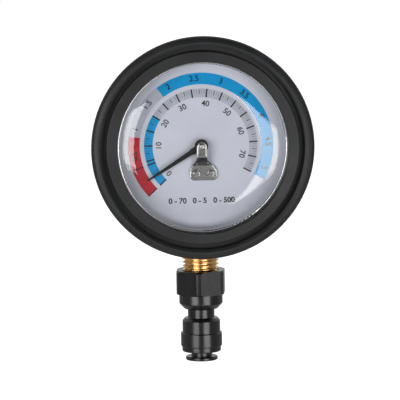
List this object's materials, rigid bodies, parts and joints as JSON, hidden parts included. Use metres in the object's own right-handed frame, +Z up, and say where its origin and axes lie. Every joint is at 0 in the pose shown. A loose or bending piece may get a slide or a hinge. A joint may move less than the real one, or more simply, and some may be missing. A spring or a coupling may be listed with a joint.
{
  "type": "radiator pressure tester gauge",
  "caption": "Dial pressure gauge in a thick rubber boot, on a straight push-in tube coupling, for testing the pressure in a radiator circuit.",
  "frame": {"origin": "centre of the tube port's mouth, at the collet's outer face", "axes": "+Z up along the stem, from the port to the dial; the dial faces -Y; +X to the right of someone reading the dial"},
  "size_m": [0.0808, 0.0344, 0.1208],
  "materials": {
    "boot_rubber": "moulded rubber, satin, faint mould lines",
    "case_steel": "black painted drawn steel",
    "bezel_steel": "polished steel ring",
    "clear_pane": "clear, gently domed",
    "seal_rubber": "soft black rubber",
    "plated_screw": "zinc plated, slotted",
    "dial_print": "white printed face with coloured bands and plain numbers",
    "nickel_sheet": "nickel plated pressed sheet",
    "black_pointer": "satin black paint",
    "steel_shaft": "ground steel",
    "plain_brass": "turned brass",
    "bronze_tube": "drawn bronze tube",
    "black_nylon": "moulded black plastic, satin gloss"
  },
  "bodies": {
    "gauge": {"rubber_boot": "boot_rubber", "case": "case_steel", "bezel": "bezel_steel", "window": "clear_pane", "window_gasket": "seal_rubber", "blowout_plug": "seal_rubber", "case_screws": "plated_screw", "dial": "dial_print", "bridge": "nickel_sheet", "bridge_screws": "plated_screw", "rear_bearing": "plain_brass", "rear_bracket": "plain_brass", "rear_bracket_screws": "plated_screw", "bourdon_tube": "bronze_tube", "socket": "plain_brass", "restrictor": "plain_brass", "coupling_body": "black_nylon", "coupling_cap": "black_nylon", "tube_oring": "seal_rubber", "oring_spacer": "black_nylon"},
    "pointer": {"pointer": "black_pointer", "pointer_hub": "black_pointer", "arbor": "steel_shaft", "tube_end_tab": "plain_brass"},
    "collet": {"collet": "black_nylon", "grab_ring": "steel_shaft"}
  },
  "joints": [
    {"name": "pointer_turn", "type": "hinge", "parent": "gauge", "child": "pointer", "pos_m": [0, 0, 0.0804], "axis": [0, 1, 0], "range_deg": [-11.5, 240.75], "stiffness_Nm_per_rad": 0.0005},
    {"name": "collet_slide", "type": "slide", "parent": "gauge", "child": "collet", "axis": [0, 0, 1], "range_m": [0, 0.0015]}
  ]
}
